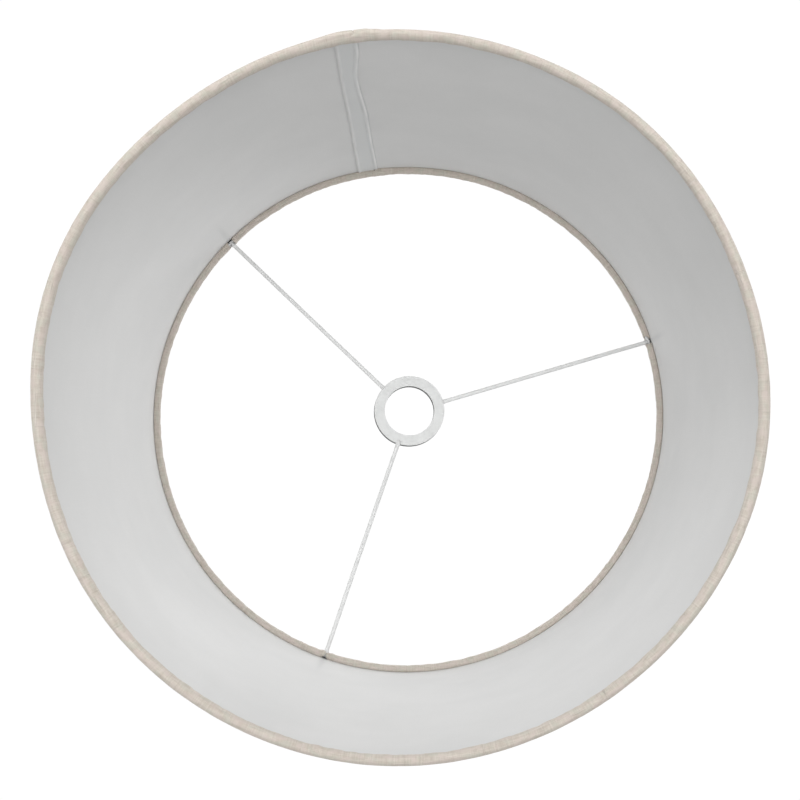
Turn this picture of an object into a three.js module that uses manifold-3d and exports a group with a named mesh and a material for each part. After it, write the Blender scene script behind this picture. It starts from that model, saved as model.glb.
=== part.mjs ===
// Hardback drum lamp shade, in millimetres, +Z up.
// A linen cover lies over a PVC lining panel, is rolled over a wire ring at each rim, and hangs from a
// three-armed spider fitter whose flat hub ring sits on a lampholder. The origin is the centre of the
// open lower rim, at the level that the shade stands on. The panel's seam runs up the back, on +Y.
import * as THREE from "three";
import { mergeVertices } from "three/addons/utils/BufferGeometryUtils.js";
import Module from "manifold-3d";

// Driving dimensions.
const OUTER_RADIUS = 200;
const HEIGHT = 250;
const COVER_THICKNESS = 0.6;
const LINER_THICKNESS = 0.4;
const LAYER_GAP = 0.25; // between layers that lie on each other
const WIRE_RADIUS = 1.6; // rings and spider arms alike
const HEM_ROLL_RADIUS = 3.1; // outside of the fold that goes round a ring
const HEM_HEIGHT = 8.2; // from the rim to the top of the turned-in edge
const SEAM_START = 88.1; // degrees about +Z, where the panel's covered end lies
const SEAM_END = 91.8; // degrees, where its free end lies on top
const LAP_RUN_UP = 1.6; // degrees before the covered end at which the free end starts to step inwards
const LAP_CLEARANCE = 0.3; // degrees left between that step and the covered end
const TAPE_THICKNESS = 0.2;
const TAPE_GAP = 0.2;
const TAPE_MARGIN = 0.3; // degrees from the tape to each end of the overlap
const ARM_ANGLES = [53.5, 172.8, 298.7]; // degrees about +Z
const ARM_SIDES = 12;
const RING_SIDES = 8;
const SLIT_CLEARANCE = 0.5; // from an arm's wire to the cut linen beside it
const HUB_RADIUS = 27.5;
const HUB_HOLE_RADIUS = 20;
const HUB_THICKNESS = 2;
const HUB_CHAMFER = 0.3;
const WELD_GAP = 0.3; // between pieces that are welded on the real fitter
const OVERCUT = 1; // by which a cut runs past what it cuts

// What follows from them.
const FACETS = 72;
const FACET_ANGLE = 360 / FACETS;
const HUB_FACETS = 48;
const FOLD_STEPS = 4; // along each half turn of a hem
const TURN_STEPS = 3; // along each quarter turn
const COVER_INNER_RADIUS = OUTER_RADIUS - COVER_THICKNESS;
const LINER_OUTER_RADIUS = COVER_INNER_RADIUS - LAYER_GAP;
const LINER_INNER_RADIUS = LINER_OUTER_RADIUS - LINER_THICKNESS;
const RING_RADIUS = LINER_INNER_RADIUS - LAYER_GAP - WIRE_RADIUS;
const HEM_INNER_RADIUS = OUTER_RADIUS - 2 * HEM_ROLL_RADIUS;
const UPPER_RING_LEVEL = HEIGHT - HEM_ROLL_RADIUS;
const LAP_DROP = LINER_THICKNESS + TAPE_THICKNESS + 2 * TAPE_GAP;
const SEAM_CORNER = Math.ceil(SEAM_START / FACET_ANGLE) * FACET_ANGLE; // the facet corner in the seam

const LINEN = new THREE.MeshStandardMaterial({ color: 0xd8cebf, roughness: 0.95, metalness: 0 });
const PVC = new THREE.MeshStandardMaterial({ color: 0xe9e9ea, roughness: 0.45, metalness: 0 });
const ADHESIVE = new THREE.MeshStandardMaterial({ color: 0xdfe3e6, roughness: 0.6, metalness: 0 });
const WHITE_WIRE = new THREE.MeshStandardMaterial({ color: 0xeeeeee, roughness: 0.4, metalness: 0.1 });
const WHITE_PLATE = new THREE.MeshStandardMaterial({ color: 0xe8eae9, roughness: 0.5, metalness: 0.1 });

const wasm = await Module();
wasm.setup();

const radians = THREE.MathUtils.degToRad;

function named(name, geometry, material) {
  const mesh = new THREE.Mesh(geometry, material);
  mesh.name = name;
  return mesh;
}

// A closed geometry as a manifold-3d solid.
function solid(geometry) {
  const bare = geometry.clone();
  bare.deleteAttribute("normal");
  bare.deleteAttribute("uv");
  const merged = mergeVertices(bare, 1e-4);
  const vertProperties = new Float32Array(merged.attributes.position.array);
  const triVerts = new Uint32Array(merged.index.array);
  return new wasm.Manifold(new wasm.Mesh({ numProp: 3, vertProperties, triVerts }));
}

// A manifold-3d solid as a geometry.
function surface(manifold) {
  const mesh = manifold.getMesh();
  const geometry = new THREE.BufferGeometry();
  geometry.setAttribute("position", new THREE.BufferAttribute(mesh.vertProperties, mesh.numProp));
  geometry.setIndex(new THREE.BufferAttribute(mesh.triVerts, 1));
  geometry.computeVertexNormals();
  return geometry;
}

// A closed profile of [radius, level] pairs turned about +Z.
function revolved(profile, facets = FACETS) {
  const closed = [...profile, profile[0]];
  const points = closed.map(([radius, level]) => new THREE.Vector2(radius, level));
  return new THREE.LatheGeometry(points, facets).rotateX(Math.PI / 2);
}

// Points of an arc about [radius, level], from one angle to another, in degrees.
function arc(radius, level, size, from, to, steps) {
  return Array.from({ length: steps + 1 }, (_, i) => {
    const angle = radians(from + ((to - from) * i) / steps);
    return [radius + size * Math.cos(angle), level + size * Math.sin(angle)];
  });
}

// The radius, at an angle about +Z, of the faceted circle that a turned profile makes.
function facetRadius(radius, angle) {
  const fromMiddle = THREE.MathUtils.euclideanModulo(angle, FACET_ANGLE) - FACET_ANGLE / 2;
  return (radius * Math.cos(radians(FACET_ANGLE / 2))) / Math.cos(radians(fromMiddle));
}

// A sheet standing on edge: it follows the given angles at the outer radius that outerRadius(angle)
// gives, and runs from level low to level high.
function standingSheet(angles, outerRadius, thickness, low, high) {
  const at = (angle, inwards) => {
    const radius = facetRadius(outerRadius(angle) - inwards, angle);
    return new THREE.Vector2(radius * Math.cos(radians(angle)), radius * Math.sin(radians(angle)));
  };
  const outside = angles.map((angle) => at(angle, 0));
  const inside = angles.map((angle) => at(angle, thickness)).reverse();
  const outline = new THREE.Shape([...outside, ...inside]);
  const settings = { depth: high - low, bevelEnabled: false };
  return new THREE.ExtrudeGeometry(outline, settings).translate(0, 0, low);
}

// The linen at one rim, from the outer wall round the ring to the turned-in edge and back. Levels are
// above the lower rim.
function hemProfile() {
  const centre = OUTER_RADIUS - HEM_ROLL_RADIUS;
  const inner = HEM_ROLL_RADIUS - COVER_THICKNESS;
  const edgeRadius = LINER_INNER_RADIUS - LAYER_GAP;
  const shoulder = HEM_HEIGHT - HEM_ROLL_RADIUS;
  const outerFold = arc(centre, HEM_ROLL_RADIUS, HEM_ROLL_RADIUS, 0, -180, FOLD_STEPS);
  const outerTurn = arc(centre, shoulder, HEM_ROLL_RADIUS, 180, 90, TURN_STEPS);
  const innerTurn = arc(centre, shoulder, inner, 90, 180, TURN_STEPS);
  const innerFold = arc(centre, HEM_ROLL_RADIUS, inner, -180, 0, FOLD_STEPS);
  const edge = [
    [edgeRadius, HEM_HEIGHT],
    [edgeRadius, HEM_HEIGHT - COVER_THICKNESS],
  ];
  return [...outerFold, ...outerTurn, ...edge, ...innerTurn, ...innerFold];
}

// A gap in the upper hem, where the linen is slit to pass one arm.
function armSlit(angle) {
  const width = 2 * (WIRE_RADIUS + SLIT_CLEARANCE);
  const low = HEIGHT - HEM_HEIGHT - OVERCUT;
  const high = UPPER_RING_LEVEL + WIRE_RADIUS + WELD_GAP;
  const from = HEM_INNER_RADIUS - OVERCUT;
  const to = RING_RADIUS + WIRE_RADIUS;
  const slit = new THREE.BoxGeometry(to - from, width, high - low);
  slit.translate((from + to) / 2, 0, (low + high) / 2).rotateZ(radians(angle));
  return solid(slit);
}

function linenCover() {
  const lower = hemProfile();
  const upper = lower.map(([radius, level]) => [radius, HEIGHT - level]).reverse();
  let cover = solid(revolved([...lower, ...upper].reverse()));
  for (const angle of ARM_ANGLES) {
    cover = cover.subtract(armSlit(angle));
  }
  return named("linen_cover", surface(cover), LINEN);
}

// The PVC panel goes once round and overlaps itself: its free end steps inwards over its covered end.
// The overlap stops short of both hems, where the panel is trimmed to a single layer.
function liningPanel() {
  const turnEnd = SEAM_START + 360 - LAP_RUN_UP;
  const turn = [SEAM_START];
  for (let angle = SEAM_CORNER; angle < turnEnd; angle += FACET_ANGLE) {
    turn.push(angle);
  }
  turn.push(turnEnd);
  const lapOuter = LINER_OUTER_RADIUS - LAP_DROP;
  const main = standingSheet(
    turn, () => LINER_OUTER_RADIUS, LINER_THICKNESS, HEM_ROLL_RADIUS, UPPER_RING_LEVEL,
  );
  const stepEnd = SEAM_START + 360 - LAP_CLEARANCE;
  const lapStart = turnEnd - LAP_RUN_UP / 2;
  const lapAngles = [lapStart, turnEnd, stepEnd, SEAM_CORNER + 360, SEAM_END + 360];
  const lapRadius = (angle) => (angle > turnEnd ? lapOuter : LINER_OUTER_RADIUS);
  const lapLow = HEM_HEIGHT + LAYER_GAP;
  const lap = standingSheet(lapAngles, lapRadius, LINER_THICKNESS, lapLow, HEIGHT - lapLow);
  return named("lining_panel", surface(solid(main).add(solid(lap))), PVC);
}

// The adhesive tape between the two layers of the overlap.
function seamTape() {
  const angles = [SEAM_START + TAPE_MARGIN, SEAM_CORNER, SEAM_END - TAPE_MARGIN];
  const outer = () => LINER_INNER_RADIUS - TAPE_GAP;
  const low = HEM_HEIGHT + LAYER_GAP;
  return named("seam_tape", standingSheet(angles, outer, TAPE_THICKNESS, low, HEIGHT - low), ADHESIVE);
}

function wireRing(name, level) {
  const section = arc(RING_RADIUS, level, WIRE_RADIUS, 360, 360 / RING_SIDES, RING_SIDES - 1);
  return named(name, revolved(section.reverse()), WHITE_WIRE);
}

// One arm of the fitter, from the hub's rim out to the upper ring.
function spiderArm(name, angle) {
  const from = HUB_RADIUS + WELD_GAP;
  const to = RING_RADIUS - WIRE_RADIUS - 2 * WELD_GAP;
  const arm = new THREE.CylinderGeometry(WIRE_RADIUS, WIRE_RADIUS, to - from, ARM_SIDES);
  arm.rotateZ(Math.PI / 2).translate((from + to) / 2, 0, 0);
  const mesh = named(name, arm, WHITE_WIRE);
  mesh.position.z = UPPER_RING_LEVEL;
  mesh.rotation.z = radians(angle);
  return mesh;
}

// The flat ring that sits on the lampholder's shoulder, with its edges broken.
function hubRing() {
  const half = HUB_THICKNESS / 2;
  const flat = half - HUB_CHAMFER;
  const profile = [
    [HUB_HOLE_RADIUS, -flat],
    [HUB_HOLE_RADIUS + HUB_CHAMFER, -half],
    [HUB_RADIUS - HUB_CHAMFER, -half],
    [HUB_RADIUS, -flat],
    [HUB_RADIUS, flat],
    [HUB_RADIUS - HUB_CHAMFER, half],
    [HUB_HOLE_RADIUS + HUB_CHAMFER, half],
    [HUB_HOLE_RADIUS, flat],
  ];
  const mesh = named("hub_ring", revolved(profile, HUB_FACETS), WHITE_PLATE);
  mesh.position.z = UPPER_RING_LEVEL;
  return mesh;
}

const shade = new THREE.Group();
shade.add(linenCover());
shade.add(liningPanel());
shade.add(seamTape());
shade.add(wireRing("lower_ring", HEM_ROLL_RADIUS));

const fitter = new THREE.Group();
fitter.add(wireRing("upper_ring", UPPER_RING_LEVEL));
ARM_ANGLES.forEach((angle, i) => fitter.add(spiderArm(`spider_arm_${i + 1}`, angle)));
fitter.add(hubRing());
shade.add(fitter);

export default shade;
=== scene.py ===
"""A hardback drum lamp shade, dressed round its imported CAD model.

The camera looks up into the open lower end, past the hub to the far rim. Lengths are metres in the
CAD model's frame: +Z up, the lower rim at 0, the lining's seam at the back. Angles about +Z are
degrees.
"""

import math

import bpy
from mathutils import Matrix, Vector, noise


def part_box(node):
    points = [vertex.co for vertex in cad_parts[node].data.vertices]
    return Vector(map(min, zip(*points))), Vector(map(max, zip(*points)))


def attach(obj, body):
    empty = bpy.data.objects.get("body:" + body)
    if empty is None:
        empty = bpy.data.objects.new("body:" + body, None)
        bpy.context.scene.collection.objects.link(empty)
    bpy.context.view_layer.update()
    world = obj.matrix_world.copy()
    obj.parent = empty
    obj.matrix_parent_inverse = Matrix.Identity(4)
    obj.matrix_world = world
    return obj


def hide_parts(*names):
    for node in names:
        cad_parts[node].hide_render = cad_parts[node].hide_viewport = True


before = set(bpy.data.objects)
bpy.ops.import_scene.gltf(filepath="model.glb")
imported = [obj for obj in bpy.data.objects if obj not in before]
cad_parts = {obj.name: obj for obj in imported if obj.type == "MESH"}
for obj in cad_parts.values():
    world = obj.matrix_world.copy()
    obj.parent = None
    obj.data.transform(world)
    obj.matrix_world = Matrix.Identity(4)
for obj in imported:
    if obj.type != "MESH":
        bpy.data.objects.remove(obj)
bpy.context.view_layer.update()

MM = 0.001

# ---------------------------------------------------------------- sizes, from the CAD model
COVER_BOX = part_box("linen_cover")
OUTER_RADIUS = COVER_BOX[1].x
HEIGHT = COVER_BOX[1].z
LINING_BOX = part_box("lining_panel")
LINING_OUTER_RADIUS = LINING_BOX[1].x
LINING_LOW = LINING_BOX[0].z
LINING_HIGH = LINING_BOX[1].z
LOWER_RING_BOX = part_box("lower_ring")
WIRE_RADIUS = (LOWER_RING_BOX[1].z - LOWER_RING_BOX[0].z) / 2
RING_RADIUS = LOWER_RING_BOX[1].x - WIRE_RADIUS
RING_LEVEL = LOWER_RING_BOX[0].z + WIRE_RADIUS  # above the rim that the ring is in
HUB_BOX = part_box("hub_ring")
HUB_RADIUS = HUB_BOX[1].x
HUB_LEVEL = (HUB_BOX[0].z + HUB_BOX[1].z) / 2
HUB_THICKNESS = HUB_BOX[1].z - HUB_BOX[0].z
HUB_HOLE_RADIUS = 19.4 * MM  # a little narrower than the CAD hole, as the photograph reads
HUB_SHIFT = Vector((-0.7, 2.4, 0)) * MM  # the arms hold the hub a little off the axis
HUB_LEAN = Vector((-0.68, 0.73, 0))  # the way it leans up
HUB_SLOPE = math.tan(math.radians(4.0))
ARM_ANGLES = (53.5, 172.8, 298.7)  # as in the CAD model

LINING_THICKNESS = 0.4 * MM
LINING_INNER_RADIUS = LINING_OUTER_RADIUS - LINING_THICKNESS
LINEN_THICKNESS = 0.5 * MM
TAPE_THICKNESS = 0.1 * MM
HEM_HEIGHT = 6.8 * MM
HEM_INNER_RADIUS = 194.3 * MM
HEM_SHOULDER = 4.3 * MM  # above the rim, where the roll starts to turn towards the lining
TUCK_DEPTH = 2.7 * MM  # of the linen's edge, pushed back behind the ring
LINEN_LAP_ANGLE = 91.7  # where the linen's folded end lies, at the back
LINEN_LAP = 12 * MM
LINEN_FOLD = 7.5 * MM  # of that end, turned under
SEAM_START = 88.1  # the lining's covered end
SEAM_END = 91.6  # and its free end, on top


# ---------------------------------------------------------------- small tools
def smooth(low, high, x):
    """0 below low, 1 above high, and a smooth rise between them."""
    t = min(1.0, max(0.0, (x - low) / (high - low)))
    return t * t * (3 - 2 * t)


def bell(x, middle, width):
    return math.exp(-(((x - middle) / width) ** 2))


def near(a, b):
    """How far angle a is from angle b, in degrees, from -180 to 180."""
    return (a - b + 180) % 360 - 180


def polar(radius, angle, z):
    return Vector((radius * math.cos(math.radians(angle)), radius * math.sin(math.radians(angle)), z))


def evenly(low, high, spacing):
    """Values from low up to but not including high, close to spacing apart."""
    count = max(1, round((high - low) / spacing))
    return [low + (high - low) * i / count for i in range(count)]


def lumps(point, size, seed=0.0):
    """Smooth noise, about -1 to 1, whose bumps are about size across."""
    return 1.6 * noise.noise(point / size + Vector((seed, 7.3 * seed, -3.1 * seed)))


def out_of_round(angle, z):
    """How far the hand-made drum is from a true circle: squared and wavy below, oval above.

    Each wave has its count round the rim, its height in millimetres and the angle of its phase.
    """
    lower_waves = ((4, 0.55, 100), (5, 0.15, 130), (6, 0.45, 170), (2, 0.2, 15), (7, 0.2, -115))
    upper_waves = ((2, 0.85, -10), (3, 0.45, 155), (4, 0.2, -10))
    lower, upper = (
        sum(height * math.cos(math.radians(count * angle - phase)) for count, height, phase in waves)
        for waves in (lower_waves, upper_waves)
    )
    t = z / HEIGHT
    return MM * (lower * (1 - t) + upper * t)


def mesh_object(name, vertices, faces, material, face_uvs=None, painted_shading_values=None):
    """A smooth mesh. Its painted shading values, one a vertex, tell the lining's material where to paint
    highlight and shade.
    """
    mesh = bpy.data.meshes.new(name)
    mesh.from_pydata([tuple(v) for v in vertices], [], faces)
    if painted_shading_values:
        mesh.attributes.new("painted_shading", "FLOAT", "POINT").data.foreach_set("value", painted_shading_values)
    if face_uvs:
        layer = mesh.uv_layers.new(name="cloth")
        flat = [value for face in face_uvs for uv in face for value in uv]
        layer.data.foreach_set("uv", flat)
    mesh.materials.append(material)
    mesh.validate()
    mesh.shade_smooth()
    piece = bpy.data.objects.new(name, mesh)
    bpy.context.scene.collection.objects.link(piece)
    return piece


def grid_object(name, grid, uvs, material, skip=lambda column, row: False, painted_shading_values=None):
    """A sheet through grid[column][row], with each point's place on the flat cloth in uvs."""
    columns = len(grid)
    rows = len(grid[0])
    vertices = [point for column in grid for point in column]
    faces = []
    face_uvs = []
    for c in range(columns - 1):
        for r in range(rows - 1):
            if skip(c, r):
                continue
            corners = ((c, r), (c + 1, r), (c + 1, r + 1), (c, r + 1))
            faces.append([i * rows + j for i, j in corners])
            face_uvs.append([uvs[i][j] for i, j in corners])
    if painted_shading_values:
        painted_shading_values = [value for column in painted_shading_values for value in column]
    return mesh_object(name, vertices, faces, material, face_uvs, painted_shading_values)


def tube_object(name, path, radii, material, sides, closed=False):
    """A round bar along path, with its radius at each point."""
    count = len(path)
    vertices = []
    for i, point in enumerate(path):
        before = path[i - 1] if closed else path[max(0, i - 1)]
        after = path[(i + 1) % count] if closed else path[min(count - 1, i + 1)]
        along = (after - before).normalized()
        side = along.cross(Vector((0, 0, 1))).normalized()
        up = side.cross(along)
        for s in range(sides):
            a = 2 * math.pi * s / sides
            vertices.append(point + radii[i] * (math.cos(a) * side + math.sin(a) * up))
    faces = []
    for i in range(count if closed else count - 1):
        after = (i + 1) % count
        for s in range(sides):
            t = (s + 1) % sides
            faces.append([i * sides + s, i * sides + t, after * sides + t, after * sides + s])
    if not closed:
        faces.append(list(range(sides))[::-1])
        faces.append(list(range((count - 1) * sides, count * sides)))
    return mesh_object(name, vertices, faces, material)


def turned_object(name, profile, material, segments=192):
    """A closed profile of (radius, level) pairs turned about the Z axis."""
    count = len(profile)
    vertices = [
        polar(radius, 360 * s / segments, level)
        for s in range(segments)
        for radius, level in profile
    ]
    faces = [
        [s * count + i, (s + 1) % segments * count + i,
         (s + 1) % segments * count + (i + 1) % count, s * count + (i + 1) % count]
        for s in range(segments)
        for i in range(count)
    ]
    return mesh_object(name, vertices, faces, material)


def thicken(piece, thickness):
    """Gives a sheet its thickness, behind its faces."""
    shell = piece.modifiers.new("thickness", "SOLIDIFY")
    shell.thickness = thickness
    shell.offset = -1
    shell.use_rim = True


# ---------------------------------------------------------------- materials
class Nodes:
    """A material's node tree, written as nested calls."""

    def __init__(self, name):
        self.material = bpy.data.materials.new(name)
        self.material.use_nodes = True
        self.tree = self.material.node_tree
        self.tree.nodes.clear()

    def add(self, kind, inputs=None, output=0, **settings):
        node = self.tree.nodes.new(kind)
        for key, value in settings.items():
            setattr(node, key, value)
        for key, value in (inputs or {}).items():
            if isinstance(value, bpy.types.NodeSocket):
                self.tree.links.new(value, node.inputs[key])
            else:
                node.inputs[key].default_value = value
        return node.outputs[output] if node.outputs else None

    def parts(self, coordinates):
        """The X, Y and Z of the coordinates."""
        node = self.tree.nodes.new("ShaderNodeSeparateXYZ")
        self.tree.links.new(coordinates, node.inputs[0])
        return node.outputs

    def math(self, operation, a, b=0.0, c=0.0):
        return self.add("ShaderNodeMath", {0: a, 1: b, 2: c}, operation=operation)

    def between(self, value, low, high, to_low=0.0, to_high=1.0):
        ends = {"From Min": low, "From Max": high, "To Min": to_low, "To Max": to_high}
        return self.add("ShaderNodeMapRange", {"Value": value, **ends}, interpolation_type="SMOOTHSTEP")

    def mix(self, factor, a, b):
        """Colour a where factor is 0 and colour b where it is 1."""
        sockets = {0: factor, 6: a, 7: b}  # 6 and 7 are the colours among the node's inputs
        return self.add("ShaderNodeMix", sockets, output=2, data_type="RGBA")

    def stretched(self, coordinates, size_x, size_y, size_z=1.0):
        """The coordinates with one unit for each given length."""
        scale = (1 / size_x, 1 / size_y, 1 / size_z)
        return self.add("ShaderNodeMapping", {"Vector": coordinates, "Scale": scale})

    def noise(self, coordinates, detail=2.0, roughness=0.5, seed=0.0):
        inputs = {"Vector": coordinates, "W": seed, "Scale": 1.0}
        inputs.update({"Detail": detail, "Roughness": roughness})
        return self.add("ShaderNodeTexNoise", inputs, noise_dimensions="4D")

    def bump(self, height, depth, normal=None, strength=1.0):
        """Relief whose height, from 0 to 1, stands for depth."""
        inputs = {"Height": height, "Distance": depth, "Strength": strength}
        if normal:
            inputs["Normal"] = normal
        return self.add("ShaderNodeBump", inputs)

    def finish(self, **inputs):
        names = {key.replace("_", " "): value for key, value in inputs.items()}
        shader = self.add("ShaderNodeBsdfPrincipled", names)
        self.add("ShaderNodeOutputMaterial", {"Surface": shader})
        return self.material


def linen_material(cloth_height):
    """Natural linen: thick and thin yarns both ways, slubs, flecks and a dry sheen."""
    n = Nodes("natural_linen")
    cloth = n.add("ShaderNodeUVMap", uv_map="cloth")
    wander = n.noise(n.stretched(cloth, 9 * MM, 9 * MM), detail=1.0, seed=3.0)
    drift = n.math("MULTIPLY_ADD", wander, 1.2 * MM, -0.6 * MM)
    cloth_x, cloth_y, _ = n.parts(cloth)
    along = n.math("ADD", cloth_x, drift)
    across = n.math("ADD", cloth_y, drift)
    wavy = n.add("ShaderNodeCombineXYZ", {"X": along, "Y": across, "Z": 0.0})

    yarn = 0.85 * MM  # from one yarn to the next
    weft_wave = n.math("SINE", n.math("MULTIPLY", across, math.pi / yarn))
    warp_wave = n.math("SINE", n.math("MULTIPLY", along, math.pi / yarn))
    over = n.between(n.math("MULTIPLY", weft_wave, warp_wave), -0.35, 0.35)
    weft = n.math("MULTIPLY", n.math("ABSOLUTE", weft_wave), n.math("MULTIPLY_ADD", over, 0.6, 0.4))
    warp = n.math("MULTIPLY", n.math("ABSOLUTE", warp_wave), n.math("MULTIPLY_ADD", over, -0.6, 1.0))
    weave = n.math("MAXIMUM", weft, warp)

    weft_tone = n.noise(n.stretched(wavy, 16 * MM, 0.95 * MM), detail=2.0, roughness=0.6, seed=1.0)
    warp_tone = n.noise(n.stretched(wavy, 0.95 * MM, 16 * MM), detail=2.0, roughness=0.6, seed=2.0)
    weft_slub = n.noise(n.stretched(wavy, 22 * MM, 1.5 * MM), detail=1.0, seed=5.0)
    warp_slub = n.noise(n.stretched(wavy, 1.4 * MM, 26 * MM), detail=1.0, seed=6.0)
    slubs = n.math("MAXIMUM", n.between(weft_slub, 0.62, 0.74), n.between(warp_slub, 0.64, 0.75))
    yarns = n.math("MULTIPLY_ADD", n.math("ADD", weft_tone, warp_tone), 0.5, 0.0)

    patches = n.noise(n.stretched(cloth, 45 * MM, 45 * MM), detail=2.0, seed=7.0)
    mottle = n.noise(n.stretched(cloth, 4.5 * MM, 3.5 * MM), detail=2.0, seed=8.0)
    hue = n.noise(n.stretched(cloth, 7 * MM, 4.5 * MM), detail=1.0, seed=9.0)

    base = n.mix(n.between(yarns, 0.36, 0.64), (0.496, 0.443, 0.386, 1), (0.636, 0.588, 0.527, 1))
    base = n.mix(n.between(hue, 0.48, 0.62, 0.0, 0.70), base, (0.601, 0.526, 0.484, 1))
    base = n.mix(n.between(hue, 0.36, 0.48, 0.60, 0.0), base, (0.535, 0.525, 0.459, 1))
    base = n.mix(n.math("MULTIPLY", slubs, 0.45), base, (0.689, 0.645, 0.588, 1))
    base = n.mix(n.between(mottle, 0.32, 0.50, 0.30, 0.0), base, (0.424, 0.367, 0.309, 1))
    base = n.mix(n.between(patches, 0.35, 0.65, 0.10, 0.0), base, (0.459, 0.411, 0.353, 1))
    flecks = n.noise(n.stretched(wavy, 2.6 * MM, 0.55 * MM), detail=1.0, seed=11.0)
    base = n.mix(n.between(flecks, 0.70, 0.78, 0.0, 0.6), base, (0.265, 0.207, 0.155, 1))

    # Painted shade: the two raw edges, tucked into the crevice behind each ring, are coloured dark, and
    # the darkening ends between these two distances from the edge.
    crevice_shade_full = 2.2 * MM
    crevice_shade_end = 3.5 * MM
    low_crevice_shade = n.between(cloth_y, crevice_shade_full, crevice_shade_end, 0.85, 0.0)
    high_crevice_shade = n.between(cloth_y, cloth_height - crevice_shade_end, cloth_height - crevice_shade_full, 0.0, 0.85)
    base = n.mix(n.math("MAXIMUM", low_crevice_shade, high_crevice_shade), base, (0.150, 0.115, 0.085, 1))

    normal = n.bump(mottle, 0.5 * MM, strength=0.5)
    normal = n.bump(slubs, 0.30 * MM, normal, strength=0.8)
    normal = n.bump(yarns, 0.45 * MM, normal, strength=0.45)
    normal = n.bump(weave, 0.22 * MM, normal, strength=0.5)
    return n.finish(
        Base_Color=base,
        Roughness=n.between(yarns, 0.35, 0.65, 0.95, 0.82),
        Specular_IOR_Level=0.22,
        Sheen_Weight=0.45,
        Sheen_Roughness=0.55,
        Sheen_Tint=(1.0, 0.96, 0.9, 1.0),
        Normal=normal,
    )


def lining_material(name, base, dark, roughness):
    """White plastic film: satin, a little uneven, with the cloth behind it just showing."""
    n = Nodes(name)
    sheet = n.add("ShaderNodeUVMap", uv_map="cloth")
    clouds = n.noise(n.stretched(sheet, 60 * MM, 45 * MM), detail=3.0, seed=1.0)
    weft = n.noise(n.stretched(sheet, 14 * MM, 1.1 * MM), detail=1.5, seed=2.0)
    warp = n.noise(n.stretched(sheet, 1.1 * MM, 14 * MM), detail=1.5, seed=3.0)
    cloth = n.math("MULTIPLY_ADD", n.math("ADD", weft, warp), 0.5, 0.0)
    grain = n.noise(n.stretched(sheet, 0.45 * MM, 0.45 * MM), detail=1.0, seed=4.0)
    waves = n.noise(n.stretched(sheet, 24 * MM, 60 * MM), detail=1.0, seed=5.0)
    colour = n.mix(n.between(clouds, 0.3, 0.7, 0.0, 0.5), base, dark)
    colour = n.mix(n.between(cloth, 0.36, 0.64, 0.22, 0.0), colour, dark)
    # Painted shade: darker and bluer on the lap, where the film lies doubled and less light comes through
    # it.
    sheet_x, _, _ = n.parts(sheet)
    one_turn = 2 * math.pi * LINING_INNER_RADIUS
    doubled = n.between(sheet_x, one_turn, one_turn + 2 * MM, 0.0, 0.4)
    colour = n.mix(doubled, colour, (0.655, 0.680, 0.685, 1))
    # Painted highlight where the painted shading value is above 0, painted shade where it is below 0.
    painted_shading = n.add("ShaderNodeAttribute", output=2, attribute_name="painted_shading")
    colour = n.mix(n.between(painted_shading, 0.0, 1.0), colour, (0.86, 0.86, 0.855, 1))
    colour = n.mix(n.between(painted_shading, 0.0, -1.0), colour, (0.54, 0.545, 0.545, 1))
    normal = n.bump(waves, 0.9 * MM, strength=0.35)
    normal = n.bump(cloth, 0.10 * MM, normal, strength=0.35)
    normal = n.bump(grain, 0.05 * MM, normal, strength=0.3)
    rough = n.between(clouds, 0.3, 0.7, roughness - 0.04, roughness + 0.05)
    return n.finish(Base_Color=colour, Roughness=rough, Specular_IOR_Level=0.45, IOR=1.5, Normal=normal)


def coated_metal(name, base, worn, roughness):
    """White powder coat: a fine orange peel, with slightly thin, greyer places."""
    n = Nodes(name)
    place = n.add("ShaderNodeTexCoord", output=3)
    peel = n.noise(n.stretched(place, 2.6 * MM, 2.6 * MM, 2.6 * MM), detail=1.0, seed=1.0)
    tone = n.noise(n.stretched(place, 9 * MM, 9 * MM, 9 * MM), detail=3.0, seed=2.0)
    colour = n.mix(n.between(tone, 0.35, 0.72), base, worn)
    rough = n.between(tone, 0.3, 0.7, roughness - 0.06, roughness + 0.08)
    normal = n.bump(peel, 0.02 * MM, strength=0.15)
    return n.finish(Base_Color=colour, Roughness=rough, Specular_IOR_Level=0.5, Normal=normal)


def floor_material():
    """A matt painted studio floor."""
    n = Nodes("studio_floor")
    place = n.add("ShaderNodeTexCoord", output=3)
    tone = n.noise(n.stretched(place, 0.3, 0.3, 0.3), detail=3.0)
    colour = n.mix(tone, (0.855, 0.855, 0.85, 1), (0.875, 0.875, 0.87, 1))
    rough = n.between(tone, 0.3, 0.7, 0.9, 1.0)
    return n.finish(Base_Color=colour, Roughness=rough, Specular_IOR_Level=0.0)


LINING = lining_material("white_lining_film", (0.725, 0.725, 0.722, 1), (0.675, 0.678, 0.675, 1), 0.46)
# The tape's darker tone is partly its own and partly painted shade, for the contact shadow beside the
# lining's cut edge.
TAPE = lining_material("seam_tape_film", (0.67, 0.685, 0.69, 1), (0.61, 0.625, 0.635, 1), 0.5)
WIRE = coated_metal("white_wire_coat", (0.80, 0.805, 0.805, 1), (0.75, 0.755, 0.755, 1), 0.36)
PLATE = coated_metal("white_plate_coat", (0.765, 0.774, 0.772, 1), (0.735, 0.745, 0.743, 1), 0.45)
# Painted shade: the hub's punched side walls, bare steel, are coloured near black as walls in shadow.
SHADED_PUNCHED_EDGE = coated_metal(
    "punched_edge_painted_shade", (0.12, 0.121, 0.123, 1), (0.09, 0.09, 0.092, 1), 0.6,
)


# ---------------------------------------------------------------- the linen cover
def arc_points(radius, level, across, up, start, end, count):
    """Points of an elliptic arc about (radius, level), between two angles in degrees."""
    angles = [math.radians(start + (end - start) * i / (count - 1)) for i in range(count)]
    return [(radius + across * math.cos(a), level + up * math.sin(a)) for a in angles]


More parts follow.
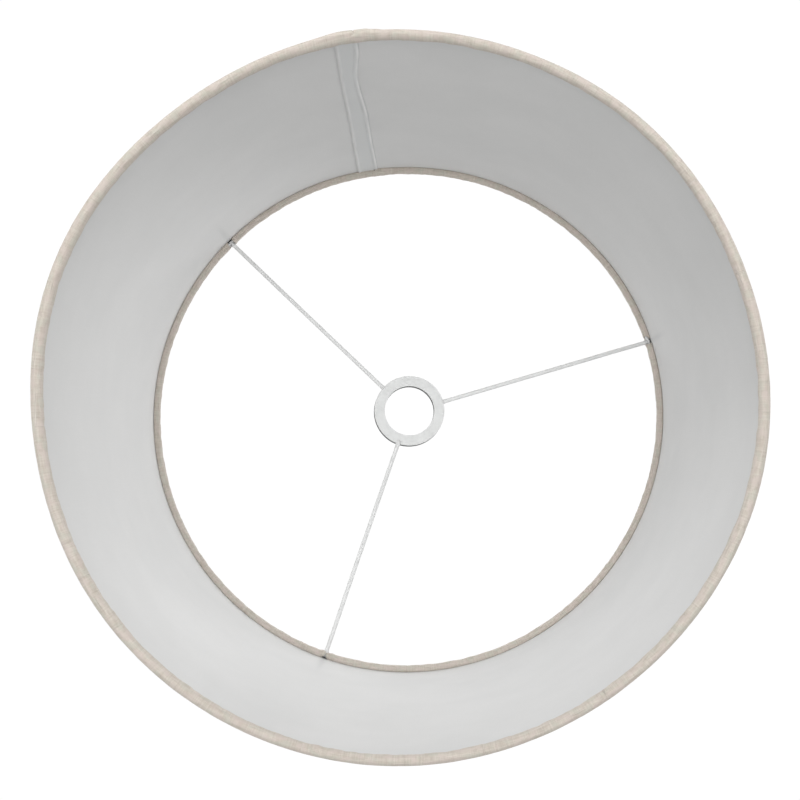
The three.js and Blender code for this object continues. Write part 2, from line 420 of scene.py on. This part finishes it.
def hem_outline():
    """The turned-in linen of one rim as (radius, height above the rim), from its edge to the wall."""
    half_width = (OUTER_RADIUS - HEM_INNER_RADIUS) / 2
    middle = OUTER_RADIUS - half_width
    edge_radius = LINING_INNER_RADIUS - 0.3 * MM
    turn = arc_points(middle, HEM_SHOULDER, half_width, HEM_HEIGHT - HEM_SHOULDER, 50, 180, 9)
    tuck = [
        (edge_radius - 0.1 * MM, HEM_HEIGHT - TUCK_DEPTH),
        (edge_radius, HEM_HEIGHT - 0.6 * TUCK_DEPTH),
        (edge_radius, HEM_HEIGHT - 0.25 * TUCK_DEPTH),
    ]
    inner_side = [(HEM_INNER_RADIUS, HEM_SHOULDER - 1.0 * MM)]
    fold = arc_points(middle, RING_LEVEL, half_width, RING_LEVEL, 180, 360, 15)
    return tuck + turn + inner_side + fold


def cover_outline():
    """The whole cover from the lower tucked edge, round both rims, to the upper tucked edge."""
    lower = hem_outline()
    upper = [(radius, HEIGHT - level) for radius, level in reversed(lower)]
    wall = [(OUTER_RADIUS, z) for z in evenly(lower[-1][1], upper[0][1], 6.5 * MM)[1:]]
    return lower + wall + upper


class Slit:
    """Where the upper hem is cut to pass an arm: how far each cut edge lies from the arm's middle.

    low_side is towards smaller angles. pucker is the height of the folds beside the cut, edge_lift how
    far the tucked edge stands off the lining, and held_from how far below the upper rim the arm begins
    to hold the cut open.
    """

    COLUMN = 2.0 * MM  # the mesh column that follows a cut edge, from the arm's middle
    REACH = 10.0 * MM  # over which the cloth beside the cut is drawn along

    def __init__(self, angle, low_side, high_side, pucker, edge_lift, held_from):
        self.angle = angle
        self.low_side = low_side
        self.high_side = high_side
        self.pucker = pucker
        self.edge_lift = edge_lift
        self.held_from = held_from


SLITS = (
    Slit(ARM_ANGLES[0], 3.2 * MM, 1.9 * MM, 0.40 * MM, 0.0, 6.5 * MM),
    Slit(ARM_ANGLES[1], 4.4 * MM, 2.0 * MM, 0.30 * MM, 0.2 * MM, 6.5 * MM),
    Slit(ARM_ANGLES[2], 0.2 * MM, 0.2 * MM, 0.90 * MM, 1.0 * MM, 5.3 * MM),
)
SLIT_TOP = HEIGHT - 1.0 * MM  # where the cuts end, beyond the arms


def arc_length(angle):
    return math.radians(angle) * OUTER_RADIUS


def cover_columns():
    """Angles of the cover's columns, from its folded end once round to its covered end."""
    turn = 360 + math.degrees(LINEN_LAP / OUTER_RADIUS)
    start = LINEN_LAP_ANGLE
    per_mm = math.degrees(MM / OUTER_RADIUS)
    # Each break is an angle and the spacing, in millimetres, of the columns that follow it.
    breaks = [(start, 0.35), (start + 1.2 * per_mm, 0.9), (start + 18 * per_mm, 1.4)]
    beside_slit = ((-Slit.REACH, 0.6), (-Slit.COLUMN, 0.5), (Slit.COLUMN, 0.6), (Slit.REACH, 1.4))
    for slit in SLITS:
        angle = slit.angle if slit.angle > start else slit.angle + 360
        for offset, spacing in beside_slit:
            breaks.append((angle + offset / MM * per_mm, spacing))
    breaks.sort()
    breaks.append((start + turn, 1.0))
    columns = []
    for (low, spacing), (high, _) in zip(breaks, breaks[1:]):
        columns += evenly(low, high, spacing * per_mm)
    return columns + [start + turn]


def slit_shift(slit, offset, z):
    """How far a point beside an arm moves along the rim with the cut edge, which the arm holds open."""
    if not -Slit.REACH < offset < Slit.REACH:
        return 0.0
    side = slit.low_side if offset <= 0 else slit.high_side
    held = smooth(HEIGHT - slit.held_from, HEIGHT - slit.held_from + 1.5 * MM, z)
    side += (max(side, Slit.COLUMN) - side) * held
    fade = 1 - smooth(Slit.COLUMN, Slit.REACH, abs(offset))
    return (side - Slit.COLUMN) * fade * (1 if offset > 0 else -1)


def lap_lift(from_start):
    """How far the lap stands off the cloth under it, from its rounded fold to where it comes down."""
    doubled = 1 - smooth(LINEN_FOLD - 1 * MM, LINEN_FOLD + 3 * MM, from_start)
    over = 1 - smooth(LINEN_LAP, LINEN_LAP + 5 * MM, from_start)
    fold_size = 0.9 * MM
    rounding = math.sqrt(max(0.0, 1 - (1 - min(1.0, from_start / fold_size)) ** 2))
    return (0.55 + (0.05 + 0.5 * doubled) * rounding) * MM * over


def running_lengths(outline):
    """The length along the outline at each of its points."""
    lengths = [0.0]
    for (r0, z0), (r1, z1) in zip(outline, outline[1:]):
        lengths.append(lengths[-1] + math.hypot(r1 - r0, z1 - z0))
    return lengths


def outline_normals(outline):
    """The way the cloth's outer side faces at each of the outline's points."""
    last = len(outline) - 1
    normals = []
    for i in range(len(outline)):
        r0, z0 = outline[max(0, i - 1)]
        r1, z1 = outline[min(last, i + 1)]
        size = math.hypot(r1 - r0, z1 - z0)
        normals.append(((z1 - z0) / size, -(r1 - r0) / size))
    return normals


def slit_columns(columns):
    """The columns of faces that lie between the two edges of a cut."""
    half = math.degrees(Slit.COLUMN / OUTER_RADIUS)
    found = set()
    for slit in SLITS:
        for c, angle in enumerate(columns[:-1]):
            middle = (angle + columns[c + 1]) / 2
            if near(middle, slit.angle - half) > 0 and near(middle, slit.angle + half) < 0:
                found.add(c)
    return found


def linen_cover():
    outline = cover_outline()
    columns = cover_columns()
    start = columns[0]
    lengths = running_lengths(outline)
    normals = outline_normals(outline)

    grid = []
    uvs = []
    for angle in columns:
        from_start = arc_length(angle - start)
        lift = lap_lift(from_start)
        slant = -2.4 * MM * (1 - smooth(6 * MM, 14 * MM, from_start))
        from_lap = arc_length(near(angle, LINEN_LAP_ANGLE))
        # The cloth beside the folded end is bunched at the lower rim, and both rolls are grooved there.
        bunched = 1.3 * MM * bell(from_lap, -7 * MM, 13 * MM) * smooth(0.6 * MM, -0.8 * MM, from_lap)
        groove = 0.7 * MM * bell(from_lap, -0.7 * MM, 0.9 * MM)
        column = []
        column_uvs = []
        slit = min(SLITS, key=lambda s: abs(near(angle, s.angle)))
        offset = arc_length(near(angle, slit.angle))
        for i, (radius, z) in enumerate(outline):
            normal_r, normal_z = normals[i]
            place = polar(radius, angle, z)
            rim = min(z, HEIGHT - z)
            roll = 1 - smooth(HEM_HEIGHT, HEM_HEIGHT + 6 * MM, rim)
            on_inside = smooth(OUTER_RADIUS - 1.5 * MM, OUTER_RADIUS - 4 * MM, radius)
            tucked = smooth(HEM_INNER_RADIUS + 2.5 * MM, LINING_INNER_RADIUS - 0.4 * MM, radius)
            tucked *= on_inside * smooth(RING_LEVEL, HEM_HEIGHT - 1 * MM, rim)
            free = 1 - 0.85 * tucked

            # The rolls are lumpy, most of all where they face inwards, and the wall waves gently.
            relief = 0.16 * MM * lumps(place, 3.0 * MM, 1.0) + 0.20 * MM * lumps(place, 8 * MM, 2.0)
            relief *= roll * free * (0.25 + 0.75 * on_inside)
            relief += 0.10 * MM * lumps(place, 40 * MM, 3.0) * (1 - 0.5 * roll)
            # The lower roll is fuller on two opposite sides.
            fuller = 0.35 * MM * math.cos(math.radians(2 * (angle - 10))) * on_inside * roll * free
            fuller *= 1 - z / HEIGHT
            lap_fade = 1 - 0.9 * smooth(OUTER_RADIUS - 3 * MM, OUTER_RADIUS - 5.2 * MM, radius)
            relief += fuller + lift * (0.3 + 0.7 * free) * lap_fade
            relief += bunched * roll * (1 - on_inside) * (1 - z / HEIGHT)
            under_rim = smooth(OUTER_RADIUS - 0.8 * MM, OUTER_RADIUS - 2.2 * MM, radius)
            relief -= groove * roll * lap_fade * under_rim

            shift = slant * on_inside
            beside = 1 - smooth(Slit.COLUMN, Slit.REACH, abs(offset))
            in_upper_hem = smooth(HEIGHT - HEM_HEIGHT - 3 * MM, HEIGHT - HEM_HEIGHT, z) * on_inside
            if beside > 0 and in_upper_hem > 0:
                shift += slit_shift(slit, offset, z) * in_upper_hem
                fold = math.sin(offset / (1.5 * MM) + 1.3 * math.sin(z / MM))
                relief += slit.pucker * beside * (0.45 + 0.55 * fold) * in_upper_hem * free
                lifted = 1 - smooth(3 * MM, 8 * MM, abs(offset - 2 * MM))
                relief -= slit.edge_lift * lifted * tucked

            turned = angle + math.degrees(shift / OUTER_RADIUS)
            r = radius + normal_r * relief + out_of_round(turned, z)
            column.append(polar(r, turned, z + normal_z * relief))
            column_uvs.append((from_start + shift, lengths[i]))
        grid.append(column)
        uvs.append(column_uvs)

    cut_columns = slit_columns(columns)

    def in_slit(column, row):
        if column not in cut_columns:
            return False
        radius = (outline[row][0] + outline[row + 1][0]) / 2
        level = (outline[row][1] + outline[row + 1][1]) / 2
        return HEIGHT / 2 < level < SLIT_TOP and radius < OUTER_RADIUS - 1 * MM

    piece = grid_object("linen_cover_sheet", grid, uvs, linen_material(lengths[-1]), skip=in_slit)
    thicken(piece, LINEN_THICKNESS)
    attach(piece, "root")
    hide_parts("linen_cover")


# ---------------------------------------------------------------- the lining and its seam
def free_edge_angle(z):
    """The lining's hand-cut free end wanders: narrowest a quarter of the way up."""
    h = z / HEIGHT
    narrow = SEAM_END - 0.4
    below = 0.9 * (1 - smooth(0.08, 0.24, h))
    above = 0.7 * smooth(0.26, 0.52, h) + 0.3 * smooth(0.62, 1, h)
    return narrow + below + above


def covered_end_angle(z):
    """The lining's covered end is cut nearly straight."""
    h = z / HEIGHT
    return SEAM_START + 0.3 * (1 - smooth(0.0, 0.3, h)) - 0.4 * smooth(0.5, 1.0, h)


def lining():
    """Once round and over itself, with the free end stuck down on top of the covered end."""
    per_mm = math.degrees(MM / LINING_INNER_RADIUS)
    levels = evenly(LINING_LOW, LINING_HIGH, 4 * MM) + [LINING_HIGH]
    beside_arm = 8 * per_mm
    run_up_start = 360 - 6 * per_mm
    round_trip = []
    reached = 0.0
    for arm_at in sorted((angle - SEAM_START) % 360 for angle in ARM_ANGLES):
        round_trip += evenly(reached, arm_at - beside_arm, 3.0 * per_mm)
        reached = arm_at + beside_arm
        round_trip += evenly(arm_at - beside_arm, reached, 1.0 * per_mm)
    round_trip += evenly(reached, run_up_start, 3.0 * per_mm)
    run_up = evenly(run_up_start, 360 + 4.0 * per_mm, 0.25 * per_mm)
    # Beyond the run-up's last column the others spread evenly to the cut edge, closer at its lip.
    lap_shares = evenly(0.0, 0.5, 0.07)[1:] + evenly(0.5, 1.0, 0.02) + [1.0]
    grid = []
    uvs = []
    painted_shading_values = []

    def place(turned, z, from_edge):
        """A point of the film, and its painted shading: above 0 a painted highlight, below 0 painted
        shade.
        """
        past = (turned - 360) / per_mm  # millimetres beyond the covered end
        lap = smooth(-0.8, 0.8, past)
        inwards = 0.55 * lap - 0.40 * bell(past, -0.9, 0.8) + 0.35 * bell(past, 1.1, 0.9)
        # Painted shade in the dip before the step onto the covered end, and a painted highlight on the
        # ridge past it.
        painted_shading = -0.75 * bell(past, -0.6, 0.8) + 0.55 * bell(past, 1.2, 0.9)
        if turned > 360:
            back = from_edge / MM
            inwards += 0.20 * bell(back, 0.3, 0.9) - 0.25 * bell(back, 2.6, 0.9) - 0.15 * bell(back, 0, 1)
            # Painted highlight on the free end's lip, and painted shade in the sag behind it.
            painted_shading += 0.95 * bell(back, 0.7, 0.85) - 0.55 * bell(back, 2.6, 0.8)
        painted_shading *= 0.8 + 0.35 * lumps(Vector((0.3 * lap, 0, z)), 14 * MM, 6.0)
        angle = covered_end_angle(z) + turned
        from_arm = min(abs(near(angle, arm_angle)) for arm_angle in ARM_ANGLES) / per_mm
        # Painted shade on the film beyond each arm's end, near the upper rim.
        painted_shading -= 0.45 * bell(from_arm, 0, 2.8) * smooth(70 * MM, 25 * MM, HEIGHT - z)
        wave = 0.25 * lumps(polar(0.2, angle, z), 60 * MM, 5.0) * smooth(0, 20 * MM, min(z, HEIGHT - z))
        wave += 0.07 * lumps(Vector((turned * 3, z * 60, 0)), 1.0, 9.0) * lap
        radius = LINING_INNER_RADIUS - (inwards + wave) * MM + out_of_round(angle, z)
        return polar(radius, angle, z), painted_shading

    def add_column(points, lengths):
        grid.append([point for point, painted_shading in points])
        painted_shading_values.append([painted_shading for point, painted_shading in points])
        uvs.append([(length, z) for length, z in zip(lengths, levels)])

    for turned in round_trip + run_up:
        points = [place(turned, z, 1.0) for z in levels]
        add_column(points, [math.radians(turned) * LINING_INNER_RADIUS] * len(levels))
    last = run_up[-1]
    for share in lap_shares:
        points = []
        lengths = []
        for z in levels:
            edge = free_edge_angle(z) - covered_end_angle(z) + 360
            turned = last + (edge - last) * share
            points.append(place(turned, z, math.radians(edge - turned) * LINING_INNER_RADIUS))
            lengths.append(math.radians(turned) * LINING_INNER_RADIUS)
        add_column(points, lengths)
    # The rows are turned over so that the film's faces look into the shade.
    grid, uvs, painted_shading_values = ([column[::-1] for column in table] for table in (grid, uvs, painted_shading_values))
    piece = grid_object("lining_film", grid, uvs, LINING, painted_shading_values=painted_shading_values)
    thicken(piece, LINING_THICKNESS)
    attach(piece, "root")
    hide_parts("lining_panel")


def seam_tape():
    """The adhesive strip inside the overlap. A thin, darker line of it shows beside the cut edge: the
    tape's own tone, and painted shade of the contact shadow there.
    """
    low_end = LINING_LOW + 6 * MM
    high_end = LINING_HIGH - 6 * MM
    levels = evenly(low_end, high_end, 4 * MM) + [high_end]
    radius = LINING_INNER_RADIUS - 0.12 * MM
    width = 14 * MM
    steps = 12
    grid = []
    uvs = []
    for i in range(steps + 1):
        share = i / steps
        column = []
        for z in levels:
            low = covered_end_angle(z) + 0.15
            high = free_edge_angle(z) + 0.08 + 0.04 * lumps(Vector((0, 0, z)), 9 * MM, 4.0)
            angle = low + (high - low) * share
            column.append(polar(radius + out_of_round(angle, z), angle, z))
        grid.append(column[::-1])
        uvs.append([(share * width, z) for z in levels][::-1])
    piece = grid_object("seam_tape_strip", grid, uvs, TAPE)
    thicken(piece, TAPE_THICKNESS)
    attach(piece, "root")
    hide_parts("seam_tape")


# ---------------------------------------------------------------- the wire rings and the fitter
def wire_ring(name, node, level):
    angles = range(360)
    path = [polar(RING_RADIUS + out_of_round(angle, level), angle, level) for angle in angles]
    piece = tube_object(name, path, [WIRE_RADIUS] * len(path), WIRE, sides=20, closed=True)
    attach(piece, "root")
    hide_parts(node)


def hub_surface(x, y):
    """The level of the leaning hub's middle plane."""
    return HUB_LEVEL + HUB_SLOPE * (Vector((x, y, 0)) - HUB_SHIFT).dot(HUB_LEAN)


class Arm:
    """An arm's small departures from a straight spoke, sideways towards larger angles.

    at_hub is where it meets the hub, off the hub's own spoke. bow is at mid length and hook at the
    ring. reach is how far its end runs in over the hub, and under is how far below the hub it lies.
    """

    def __init__(self, angle, at_hub, bow, hook, reach, under):
        self.angle = angle
        self.at_hub = at_hub
        self.bow = bow
        self.hook = hook
        self.reach = reach
        self.under = under


ARMS = (
    Arm(ARM_ANGLES[0], -1.5 * MM, -0.15 * MM, 0.0, 0.8 * MM, 0.0),
    Arm(ARM_ANGLES[1], 0.85 * MM, 0.05 * MM, 0.2 * MM, 0.8 * MM, 0.0),
    Arm(ARM_ANGLES[2], -0.1 * MM, 0.25 * MM, 0.1 * MM, 2.4 * MM, 1.4 * MM),
)


def arm_path(arm):
    """Points along an arm, from its end at the hub to the ring."""
    sideways = polar(1.0, arm.angle + 90, 0)
    start = HUB_SHIFT + polar(HUB_RADIUS - arm.reach, arm.angle, 0) + arm.at_hub * sideways
    end = polar(RING_RADIUS - WIRE_RADIUS * 0.6 + out_of_round(arm.angle, HUB_LEVEL), arm.angle, 0)
    start.z = hub_surface(start.x, start.y) - arm.under
    end.z = HUB_LEVEL
    points = []
    count = 60
    for i in range(count + 1):
        t = i / count
        side = arm.bow * math.sin(math.pi * t)
        side += arm.hook * smooth(0.82, 1.0, t) - 0.5 * arm.hook * smooth(0.6, 0.95, t)
        points.append(start.lerp(end, t) + side * sideways)
    return points


def spider_arm(index, arm):
    path = arm_path(arm)
    radii = []
    for point in path:
        from_hub = (point - path[0]).length
        from_ring = (point - path[-1]).length
        hub_weld = 0.4 * MM * bell(from_hub, arm.reach, 1.1 * MM)
        ring_weld = 0.7 * MM * bell(from_ring, 0, 1.5 * MM)
        radii.append(WIRE_RADIUS + hub_weld + ring_weld)
    piece = tube_object(f"fitter_arm_{index}", path, radii, WIRE, sides=28)
    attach(piece, "root")
    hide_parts(f"spider_arm_{index}")


def hub_plate():
    """A flat stamped ring, cut a little askew, with its punched edges near black: bare steel, and painted
    shade of side walls in shadow.
    """
    half = HUB_THICKNESS / 2
    die_roll = 0.25 * MM
    burr = 0.12 * MM
    askew = 0.55  # sideways for each millimetre through the plate
    profile = []
    corners = (
        (HUB_RADIUS, half, burr, 0), (HUB_HOLE_RADIUS, half, burr, 90),
        (HUB_HOLE_RADIUS, -half, die_roll, 180), (HUB_RADIUS, -half, die_roll, 270),
    )
    arc_steps = 5
    for radius, level, size, start in corners:
        r = radius + (size if start in (90, 180) else -size)
        z = level + (size if start >= 180 else -size)
        profile += arc_points(r, z, size, size, start, start + 90, arc_steps)
    piece = turned_object("hub_plate", profile, PLATE)
    piece.data.materials.append(SHADED_PUNCHED_EDGE)
    walls = (2 * arc_steps - 1, len(profile) - 1)  # the profile's steps along the hole and the rim
    # The side walls get the painted shade.
    for face in piece.data.polygons:
        face.material_index = 1 if face.index % len(profile) in walls else 0
    for vertex in piece.data.vertices:
        place = vertex.co + HUB_SHIFT - HUB_LEAN * askew * (vertex.co.z + half)
        place.z = vertex.co.z + hub_surface(place.x, place.y)
        vertex.co = place
    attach(piece, "root")
    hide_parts("hub_ring")


# ---------------------------------------------------------------- stage, camera and light
SKY_LIGHT = 0.5  # how bright the sky is to the shade and the floor
SKY_TOP = 1.02  # and how bright it looks from the camera, high above the horizon
FLOOR_TONE = 0.86  # the part of its light that the floor gives back
LIGHTS = (  # name; azimuth, elevation and spread in degrees; distance, size; watts
    ("through_mouth", 90, -38, 76, 1.2, 0.7, 0.82),
    ("under_mouth", 90, -80, 150, 0.825, 0.8, 2.3),
    ("high_side", 180, 35, 180, 2.0, 1.2, 15.2),
    ("high_back", 45, 35, 180, 2.0, 1.2, 7.6),
    ("overhead", 112, 60, 180, 2.0, 1.2, 3.8),
    ("front_fill", 315, 8, 180, 2.2, 1.4, 5.0),
)


def camera():
    """The photograph's view, up into the open end, with the picture a little off the lens's axis."""
    data = bpy.data.cameras.new("camera")
    data.sensor_width = 36
    data.lens = 44.56
    data.shift_x = -0.0515
    data.shift_y = -0.0164
    piece = bpy.data.objects.new("camera", data)
    bpy.context.scene.collection.objects.link(piece)
    eye = Vector((-0.0040, -0.0497, -0.532))
    aim = Vector((-0.0285, 0.0170, HEIGHT))
    roll = math.radians(9.7)
    back = (eye - aim).normalized()
    upright = Vector((-math.sin(roll), math.cos(roll), 0))
    right = upright.cross(back).normalized()
    up = back.cross(right)
    piece.matrix_world = Matrix.Translation(eye) @ Matrix((right, up, back)).transposed().to_4x4()
    bpy.context.scene.camera = piece


def soft_light(name, place, aim, size, power, spread):
    """A round soft lamp, which the camera doesn't see."""
    data = bpy.data.lights.new(name, "AREA")
    data.shape = "DISK"
    data.size = size
    data.energy = power
    data.spread = math.radians(spread)
    piece = bpy.data.objects.new(name, data)
    piece.location = place
    piece.rotation_mode = "QUATERNION"
    piece.rotation_quaternion = (Vector(aim) - Vector(place)).to_track_quat("-Z", "Y")
    piece.visible_camera = False
    bpy.context.scene.collection.objects.link(piece)


def stage():
    """A pale floor that runs out of sight, and a white sky that meets it in the floor's own tone."""
    floor_level = -0.8
    far = 60.0
    sides = 96
    corners = [polar(far, 360 * i / sides, floor_level) for i in range(sides)]
    floor = mesh_object("floor", corners, [list(range(sides))], floor_material())

    world = bpy.data.worlds.new("studio")
    world.use_nodes = True
    tree = world.node_tree
    tree.nodes.clear()
    direction = tree.nodes.new("ShaderNodeTexCoord")
    parts = tree.nodes.new("ShaderNodeSeparateXYZ")
    rise = tree.nodes.new("ShaderNodeMapRange")
    rise.interpolation_type = "SMOOTHSTEP"
    ends = {"From Min": 0.0, "From Max": 0.6, "To Min": SKY_LIGHT * FLOOR_TONE, "To Max": SKY_TOP}
    for name, value in ends.items():
        rise.inputs[name].default_value = value
    seen = tree.nodes.new("ShaderNodeBackground")
    lit = tree.nodes.new("ShaderNodeBackground")
    lit.inputs["Strength"].default_value = SKY_LIGHT
    path = tree.nodes.new("ShaderNodeLightPath")
    mix = tree.nodes.new("ShaderNodeMixShader")
    out = tree.nodes.new("ShaderNodeOutputWorld")
    for background in (seen, lit):
        background.inputs["Color"].default_value = (1, 1, 1, 1)
    tree.links.new(direction.outputs["Generated"], parts.inputs[0])
    tree.links.new(parts.outputs["Z"], rise.inputs["Value"])
    tree.links.new(rise.outputs[0], seen.inputs["Strength"])
    tree.links.new(path.outputs["Is Camera Ray"], mix.inputs[0])
    tree.links.new(lit.outputs[0], mix.inputs[1])
    tree.links.new(seen.outputs[0], mix.inputs[2])
    tree.links.new(mix.outputs[0], out.inputs[0])
    bpy.context.scene.world = world
    bpy.context.scene.view_settings.view_transform = "Standard"

    centre = Vector((0, 0, HEIGHT / 2))
    for name, azimuth, elevation, spread, distance, size, power in LIGHTS:
        level = math.radians(elevation)
        place = centre + polar(distance * math.cos(level), azimuth, distance * math.sin(level))
        soft_light(name, place, centre, size, power, spread)


camera()
linen_cover()
lining()
seam_tape()
wire_ring("lower_wire_ring", "lower_ring", RING_LEVEL)
wire_ring("upper_wire_ring", "upper_ring", HEIGHT - RING_LEVEL)
for number, arm in enumerate(ARMS, start=1):
    spider_arm(number, arm)
hub_plate()
stage()
